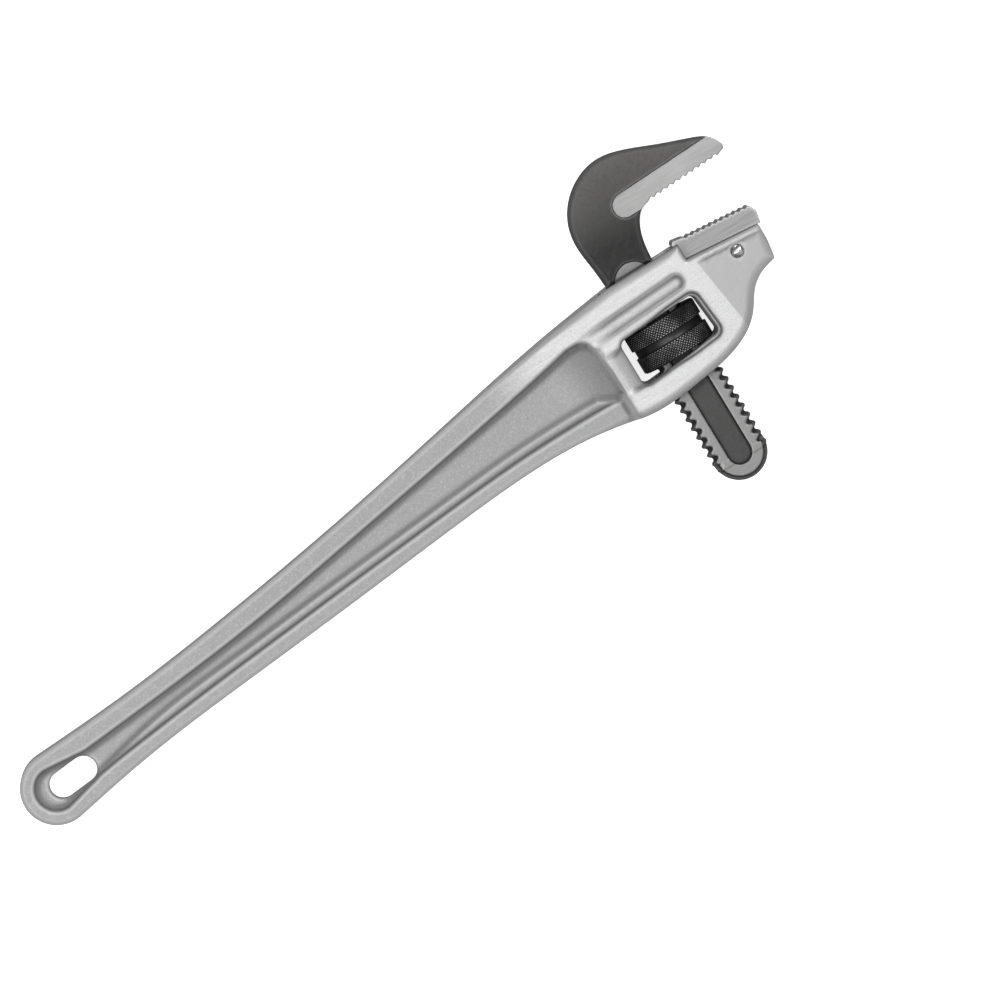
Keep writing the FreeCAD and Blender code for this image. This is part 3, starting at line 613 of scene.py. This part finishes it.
def nut_profile():
    """The nut's outline. Its bore is plain, near the thread's root, so it cuts the shank's crests."""
    bore = ROOT_R + BORE_GAP
    rows = [(bore, h) for h in np.linspace(-NUT_HALF + 0.9, NUT_HALF - 0.9, 5)]
    rows += [(bore + NUT_CHAMFER, NUT_HALF), (NUT_R - NUT_CHAMFER, NUT_HALF), (NUT_R - 0.3, NUT_HALF - 0.35)]
    rows += [(NUT_R, h) for h in np.linspace(NUT_HALF - NUT_CHAMFER, NUT_GROOVE_HALF + 0.1, 44)]
    neck = NUT_R - NUT_GROOVE_DEPTH
    rows += [(NUT_R - 0.5, NUT_GROOVE_HALF), (neck + 0.15, NUT_GROOVE_HALF - 0.2)]
    rows += [(neck, NUT_GROOVE_HALF - 0.5)]
    rows += [(neck, 0), (neck, -NUT_GROOVE_HALF + 0.5), (neck + 0.15, -NUT_GROOVE_HALF + 0.2)]
    rows += [(NUT_R - 0.5, -NUT_GROOVE_HALF)]
    rows += [(NUT_R, h) for h in np.linspace(-NUT_GROOVE_HALF - 0.1, -NUT_HALF + NUT_CHAMFER, 44)]
    rows += [(NUT_R - 0.3, -NUT_HALF + 0.35), (NUT_R - NUT_CHAMFER, -NUT_HALF)]
    rows += [(bore + NUT_CHAMFER, -NUT_HALF)]
    return rows


def knurl(radius, height, angle):
    """Diamond knurling: two crossing sets of fine grooves on the outer bands."""
    lead = 2 * math.pi / KNURL_COUNT
    across = height / NUT_R
    one = np.abs(((angle + across) / lead) % 1 - 0.5) * 2
    two = np.abs(((angle - across) / lead) % 1 - 0.5) * 2
    groove = np.minimum(np.minimum(one, two) * 1.7, 1.0)
    on_band = (radius > NUT_R - 0.05) & (np.abs(height) > NUT_GROOVE_HALF + 0.15)
    fade = ease(NUT_HALF - np.abs(height), 0.5, 1.6)
    cut = KNURL_DEPTH * (1 - groove) * (0.4 + 0.6 * fade)
    return radius - np.where(on_band, cut, 0), np.where(on_band, groove, 0.5)


PIN_R = 3.2


def pin_profile(half, dome):
    rows = [(0.02, -half)] + [(PIN_R * math.sin(a), -half + dome * (1 - math.cos(a))) for a in
                              np.radians([15, 30, 45, 60, 75, 90])]
    rows += [(PIN_R, 0)]
    return rows + [(r, -h) for r, h in reversed(rows[:-1])]


# ---- materials -----------------------------------------------------------------------------------
class Nodes:
    """A node tree being filled in: each method adds a node and returns its output."""

    def __init__(self, name):
        self.material = bpy.data.materials.new(name)
        self.material.use_nodes = True
        self.tree = self.material.node_tree
        self.shader = self.tree.nodes["Principled BSDF"]

    def add(self, kind, inputs=(), **settings):
        node = self.tree.nodes.new(kind)
        for key, value in settings.items():
            setattr(node, key, value)
        for key, value in dict(inputs).items():
            self.set(node.inputs[key], value)
        return node

    def set(self, socket, value):
        if isinstance(value, bpy.types.NodeSocket):
            self.tree.links.new(value, socket)
        else:
            socket.default_value = value

    def place(self):
        return self.add("ShaderNodeTexCoord").outputs["Object"]

    def noise(self, scale, detail=4.0, roughness=0.55, vector=None):
        return self.add("ShaderNodeTexNoise", {
            "Vector": vector or self.place(), "Scale": scale, "Detail": detail, "Roughness": roughness,
        }).outputs["Fac"]

    def stretch(self, scale, turn=(0, 0, 0)):
        return self.add("ShaderNodeMapping", {
            "Vector": self.place(), "Scale": scale, "Rotation": turn,
        }).outputs["Vector"]

    def ramp(self, factor, low, high, out_low=0.0, out_high=1.0):
        return self.add("ShaderNodeMapRange", {
            "Value": factor, "From Min": low, "From Max": high, "To Min": out_low, "To Max": out_high,
        }, clamp=True).outputs["Result"]

    def mix(self, factor, first, second, blend="MIX"):
        node = self.add("ShaderNodeMix", data_type="RGBA", blend_type=blend)
        self.set(node.inputs["Factor"], factor)
        colour_sockets = [s for s in node.inputs if s.type == "RGBA"]
        for socket, value in zip(colour_sockets, (first, second)):
            self.set(socket, value if isinstance(value, bpy.types.NodeSocket) else (*value, 1.0))
        return [s for s in node.outputs if s.type == "RGBA"][0]

    def maths(self, operation, first, second=0.0):
        node = self.add("ShaderNodeMath", operation=operation)
        self.set(node.inputs[0], first)
        self.set(node.inputs[1], second)
        return node.outputs[0]

    def bump(self, height, distance, strength=1.0, under=None):
        inputs = {"Height": height, "Distance": distance, "Strength": strength}
        if under:
            inputs["Normal"] = under
        return self.add("ShaderNodeBump", inputs).outputs["Normal"]

    def edges(self):
        """Bright on convex edges and dark in corners, about 0.5 on the flat."""
        return self.add("ShaderNodeNewGeometry").outputs["Pointiness"]

    def marked(self, name):
        """A number that mark() stored in the mesh."""
        return self.add("ShaderNodeAttribute", attribute_name=name).outputs["Fac"]

    def blend(self, factor, first, second):
        """Between two numbers or outputs, by the factor."""
        ends = {"Value": factor, "To Min": first, "To Max": second}
        return self.add("ShaderNodeMapRange", ends).outputs["Result"]

    def finish(self, **sockets):
        for key, value in sockets.items():
            self.set(self.shader.inputs[key.replace("_", " ")], value)
        return self.material


def grey(value, warm=0.0):
    return (value * (1 + warm), value, value * (1.008 - warm))


def edge_wear_and_corner_shade(n, tone, worn, corner_tone, reach=0.10):
    """Rubs convex edges brighter, as wear, and paints the concave corners with the last tone given: a painted
    shade where that tone is darker.
    """
    bend = n.marked("bend")
    tone = n.mix(n.ramp(bend, 0.02, reach), tone, worn)
    # painted shade in the concave corners, where the tone given is darker
    return n.mix(n.ramp(bend, -0.015, -reach), tone, corner_tone)


def cast_aluminium():
    """Bead-blasted casting: fine even grain over slow clouds of tone."""
    n = Nodes("cast_aluminium")
    cloud = n.noise(16.0, 4.0)
    blast = n.noise(1250.0, 3.0, 0.65)
    pits = n.noise(560.0, 2.0, 0.7)
    ground = n.marked("ground")
    tone = n.mix(n.ramp(cloud, 0.35, 0.68), grey(0.29), grey(0.33))
    tone = n.mix(n.maths("MULTIPLY", ground, 0.8), tone, grey(0.64))
    tone = n.mix(n.ramp(blast, 0.50, 0.34, 0.0, 0.35), tone, grey(0.26))
    tone = n.mix(n.ramp(blast, 0.54, 0.70, 0.0, 0.30), tone, grey(0.70))
    facet = n.ramp(n.marked("facet"), 0.25, -0.25)
    tone = n.mix(facet, tone, grey(0.41))
    belt = n.maths("MULTIPLY", ground, n.maths("SUBTRACT", 1.0, facet))
    streaks = n.noise(1.0, 4.0, 0.7, n.stretch((70.0, 1500.0, 300.0), (0, 0, math.radians(GRIND_DEG))))
    tone = n.mix(n.maths("MULTIPLY", belt, n.ramp(streaks, 0.42, 0.70, 0.0, 0.5)), tone, grey(0.70))
    # edge wear, and painted shade in the casting's concave corners
    tone = edge_wear_and_corner_shade(n, tone, grey(0.46), grey(0.21))
    rough = n.maths("ADD", n.ramp(pits, 0.3, 0.7, 0.46, 0.58), n.ramp(cloud, 0.3, 0.7, -0.03, 0.03))
    normal = n.bump(blast, 0.00008, 0.8, n.bump(pits, 0.00010, 0.6))
    normal = n.bump(n.maths("MULTIPLY", belt, streaks), 0.00006, 0.5, normal)
    return n.finish(Base_Color=tone, Metallic=n.blend(ground, 0.30, 0.55), Roughness=rough, Normal=normal)


def forged_steel():
    """Dark mottled forging scale, with bright faces where the jaw and shank were milled."""
    n = Nodes("forged_steel")
    height = n.add("ShaderNodeSeparateXYZ", {"Vector": n.place()}).outputs["Y"]
    mottle = n.noise(16.0, 4.0, 0.5)
    scale = n.noise(420.0, 4.0, 0.65)
    # painted shade and light: the forging is darker near the housing and lighter towards the hook's top
    up = n.ramp(height, FORGING_PAINTED_SHADE_Y, PAINTED_LIGHT_TOP_Y)
    forged = n.mix(up, grey(0.017, 0.03), grey(0.105, 0.03))
    patches = n.ramp(mottle, 0.35, 0.70, 0.0, 0.7)
    forged = n.mix(patches, forged, n.mix(up, grey(0.038, 0.02), grey(0.15, 0.02)))
    # the painted shade is lifted along the shank: the forging is lighter below frame height 0.02
    forged = n.mix(n.ramp(height, 0.020, 0.0, 0.0, 0.8), forged, grey(0.075, 0.02))
    forged = n.mix(n.ramp(scale, 0.52, 0.34, 0.0, 0.35), forged, grey(0.03))
    # edge wear, and painted shade in the forging's concave corners
    forged = edge_wear_and_corner_shade(n, forged, grey(0.13), grey(0.02), 0.2)
    lines = n.noise(1.0, 3.0, 0.6, n.stretch((90.0, 1500.0, 1500.0)))
    # painted shade and light on the milled faces: darker on the neck and shank, lighter on the strip towards
    # the top
    cut = n.mix(n.ramp(height, MILLED_PAINTED_SHADE_Y, PAINTED_LIGHT_TOP_Y), grey(0.20, 0.02), grey(0.42, 0.01))
    # painted shadow: the milled shank faces are darker inside the window, where the nut and housing shade
    # them
    painted_nut_shadow = n.maths("MULTIPLY", n.ramp(height, -0.040, -0.026), n.ramp(height, 0.040, 0.026))
    cut = n.mix(n.ramp(painted_nut_shadow, 0.0, 1.0, 0.0, 0.65), cut, grey(0.07, 0.03))
    cut = n.mix(n.ramp(lines, 0.62, 0.36, 0.0, 0.5), cut, n.mix(0.5, cut, grey(0.12)))
    cut = n.mix(n.ramp(mottle, 0.42, 0.62, 0.0, 0.25), cut, n.mix(0.5, cut, grey(0.7)))
    on_cut = n.ramp(n.marked("milled"), 0.12, -0.12)
    tone = n.mix(on_cut, forged, cut)
    rough = n.blend(on_cut, n.ramp(scale, 0.3, 0.7, 0.46, 0.62), n.ramp(lines, 0.3, 0.7, 0.36, 0.46))
    as_forged = n.ramp(on_cut, 0.0, 1.0, 1.0, 0.05)
    normal = n.bump(n.maths("MULTIPLY", mottle, as_forged), 0.0035, 0.8, n.bump(lines, 0.00002, 0.5))
    normal = n.bump(n.maths("MULTIPLY", scale, as_forged), 0.00022, 0.8, normal)
    return n.finish(
        Base_Color=tone, Metallic=n.blend(on_cut, 0.45, 0.6), Roughness=rough, Normal=normal,
        Specular_IOR_Level=0.3,
    )


def ground_steel():
    """Heel jaw: ground along its length, duller in the tooth roots."""
    n = Nodes("jaw_steel")
    lines = n.noise(1.0, 4.0, 0.65, n.stretch((55.0, 1700.0, 1700.0), (0, 0, math.radians(-HEEL_DEG))))
    cloud = n.noise(60.0, 4.0)
    tone = n.mix(n.ramp(lines, 0.30, 0.70), grey(0.22, 0.01), grey(0.36, 0.01))
    tone = n.mix(n.ramp(cloud, 0.40, 0.65, 0.0, 0.35), tone, grey(0.30, 0.01))
    tone = edge_wear_and_corner_shade(n, tone, grey(0.48), grey(0.30), 0.25)
    normal = n.bump(lines, 0.00004, 0.7)
    rough = n.ramp(lines, 0.3, 0.7, 0.36, 0.5)
    return n.finish(Base_Color=tone, Metallic=0.45, Roughness=rough, Normal=normal)


def blackened_steel():
    """The nut: black oxide, rubbed bright on the knurl's points."""
    n = Nodes("blackened_steel")
    rub = n.noise(70.0, 3.0)
    fine = n.noise(900.0, 3.0)
    worn = n.maths("MULTIPLY", n.marked("crest"), n.ramp(rub, 0.30, 0.70, 0.35, 1.0))
    tone = n.mix(n.ramp(rub, 0.35, 0.7), grey(0.024), grey(0.042))
    # painted shade: the knurl's grooves are darker than the rest of the oxide
    tone = n.mix(n.ramp(n.marked("crest"), 0.45, 0.05), tone, grey(0.006))
    tone = n.mix(n.ramp(worn, 0.42, 0.95), tone, grey(0.36, 0.01))
    rough = n.maths("SUBTRACT", n.ramp(fine, 0.3, 0.7, 0.34, 0.46), n.ramp(worn, 0.4, 1.0, 0.0, 0.10))
    return n.finish(Base_Color=tone, Metallic=0.85, Roughness=rough, Normal=n.bump(fine, 0.00003, 0.5))


def peened_steel():
    """The pin: bright, with small flats where its ends were hammered over."""
    n = Nodes("pin_steel")
    dents = n.noise(430.0, 0.0, 0.4)
    fine = n.noise(1600.0, 3.0)
    tone = n.mix(n.ramp(dents, 0.35, 0.6), grey(0.30), grey(0.66))
    # painted shade: darker where the surface is concave
    tone = n.mix(n.ramp(n.edges(), 0.50, 0.44), tone, grey(0.3))
    rough = n.ramp(fine, 0.3, 0.7, 0.22, 0.34)
    return n.finish(Base_Color=tone, Metallic=1.0, Roughness=rough, Normal=n.bump(dents, 0.0009, 1.0))


def spring_steel():
    """Blued, drawn and rolled spring stock, worn along its edges."""
    n = Nodes("spring_steel")
    drawn = n.noise(1.0, 3.0, 0.6, n.stretch((900.0, 120.0, 900.0)))
    stain = n.noise(90.0, 4.0)
    tone = n.mix(n.ramp(stain, 0.35, 0.65), grey(0.10), grey(0.18))
    tone = n.mix(n.ramp(n.edges(), 0.51, 0.60, 0.0, 0.7), tone, grey(0.45))
    rough = n.ramp(drawn, 0.3, 0.7, 0.28, 0.44)
    return n.finish(Base_Color=tone, Metallic=0.9, Roughness=rough, Normal=n.bump(drawn, 0.00003, 0.5))


# ---- the pieces, built ---------------------------------------------------------------------------
def dress(piece, node, material, body):
    piece.data.materials.clear()
    piece.data.materials.append(material)
    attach(piece, body)
    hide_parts(node)


handle, handle_points = carve("handle_casting", handle_shape, (-391, -53, -22), (68, 38, 22), 0.75)
mark(handle, "facet", facet_edge(handle_points))
mark(handle, "ground", ease(np.abs(handle_points[:, 2]), HOUSING_HALF - 5.0, HOUSING_HALF - 0.2))
dress(handle, "handle", cast_aluminium(), "handle")

hook, hook_points = carve("hook_forging", hook_shape, (-18, -82, -10), (73, 94, 10), 0.42)
mark(hook, "milled", milled(hook_points))
dress(hook, "hook_jaw", forged_steel(), "hook")

heel, _ = carve("heel_jaw_block", heel_shape, (22, 8, -13.5), (70, 41, 13.5), 0.35)
dress(heel, "heel_jaw", ground_steel(), "handle")

nut, knurl_crest = lathe("knurled_nut", nut_profile(), 768, relief=knurl)
mark(nut, "crest", knurl_crest)
dress(nut, "adjusting_nut", blackened_steel(), "nut")

pin_low, pin_high = head_box("heel_jaw_pin")
pin_centre = (pin_low + pin_high) / 2
pin, _ = lathe("heel_pin", pin_profile((pin_high - pin_low)[2] / 2, 1.3), 48, "Z", pin_centre)
dress(pin, "heel_jaw_pin", peened_steel(), "handle")

springs = spring_steel()
for node in ("flat_spring", "spring_rivet", "coil_spring"):
    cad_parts[node].data.materials.clear()
    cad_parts[node].data.materials.append(springs)

# ---- floor, camera and light ---------------------------------------------------------------------
FLOOR_HALF = 3.0


def make_floor():
    mesh = bpy.data.meshes.new("floor")
    corners = [(-1, -1), (1, -1), (1, 1), (-1, 1)]
    mesh.from_pydata([(x * FLOOR_HALF, y * FLOOR_HALF, 0) for x, y in corners], [], [(0, 1, 2, 3)])
    floor = bpy.data.objects.new("floor", mesh)
    floor.location.z = CAD_BOX[0][2] - 0.0002
    bpy.context.scene.collection.objects.link(floor)
    n = Nodes("floor")
    tone = n.mix(n.ramp(n.noise(3.0, 2.0), 0.3, 0.7), (0.90, 0.90, 0.90), (0.92, 0.92, 0.92))
    floor.data.materials.append(n.finish(
        Base_Color=tone, Roughness=0.9, Emission_Color=(1, 1, 1, 1), Emission_Strength=0.75,
    ))
    floor.visible_glossy = False  # a studio cut-out: the white ground isn't mirrored in the metal's sides


VIEW_ROLL_DEG = 31.3  # the jaws' direction rises by this much in the picture
VIEW_LEAN_DEG = 4.0  # the camera leans towards the hook
LENS, SENSOR = 300.0, 36.0
FRAME_WIDTH = 489.0  # millimetres across the picture, at the wrench's middle plane
CENTRE_RIGHT, CENTRE_UP = -82.4, -80.3  # the picture's middle, from the nut's centre


def make_camera():
    roll, lean = math.radians(VIEW_ROLL_DEG), math.radians(VIEW_LEAN_DEG)
    back = Vector((0, math.sin(lean), math.cos(lean)))
    right = Vector((math.sin(roll), math.cos(roll), 0)).cross(back).normalized()
    up = back.cross(right)
    camera = bpy.data.objects.new("camera", bpy.data.cameras.new("camera"))
    camera.data.lens, camera.data.sensor_width = LENS, SENSOR
    target = Vector(HEAD) + (right * CENTRE_RIGHT + up * CENTRE_UP) * MM
    distance = FRAME_WIDTH * MM * LENS / SENSOR
    turn = Matrix((right, up, back)).transposed().to_4x4()
    camera.matrix_world = Matrix.Translation(target + back * distance) @ turn
    camera.data.clip_end = 50
    bpy.context.scene.collection.objects.link(camera)
    bpy.context.scene.camera = camera
    return right, up, back


def area_light(name, place_at, aim, size, power, colour=(1, 1, 1)):
    data = bpy.data.lights.new(name, "AREA")
    data.shape, data.size, data.size_y = "RECTANGLE", size[0], size[1]
    data.energy, data.color = power, colour
    light = bpy.data.objects.new(name, data)
    light.location = place_at
    light.rotation_mode = "QUATERNION"
    light.rotation_quaternion = (Vector(aim) - Vector(place_at)).to_track_quat("-Z", "Y")
    bpy.context.scene.collection.objects.link(light)


SKY_LOW, SKY_HIGH, SKY_DARK, SKY_BRIGHT = 0.05, 0.95, 0.14, 0.62


def make_world():
    """A sky that is bright overhead and darker towards the horizon, so that metal edges read."""
    world = bpy.data.worlds.new("studio")
    world.use_nodes = True
    tree = world.node_tree
    direction = tree.nodes.new("ShaderNodeTexCoord")
    split = tree.nodes.new("ShaderNodeSeparateXYZ")
    tree.links.new(direction.outputs["Generated"], split.inputs["Vector"])
    ramp = tree.nodes.new("ShaderNodeMapRange")
    ramp.inputs["From Min"].default_value, ramp.inputs["From Max"].default_value = SKY_LOW, SKY_HIGH
    ramp.inputs["To Min"].default_value, ramp.inputs["To Max"].default_value = SKY_DARK, SKY_BRIGHT
    tree.links.new(split.outputs["Z"], ramp.inputs["Value"])
    tree.links.new(ramp.outputs["Result"], tree.nodes["Background"].inputs["Strength"])
    tree.nodes["Background"].inputs["Color"].default_value = (1, 1, 1, 1)
    bpy.context.scene.world = world


def make_light(right, up, back):
    head = Vector(HEAD)
    area_light("key", head + up * 0.85 + right * 0.45 + back * 1.55, head, (0.5, 0.5), 12.0)
    handle_end = head - right * 0.33 - up * 0.22
    area_light("fill", handle_end - right * 0.1 - up * 0.1 + back * 1.4, handle_end, (0.8, 0.8), 9.0)


make_floor()
make_world()
make_light(*make_camera())
bpy.context.scene.view_settings.view_transform = "Standard"
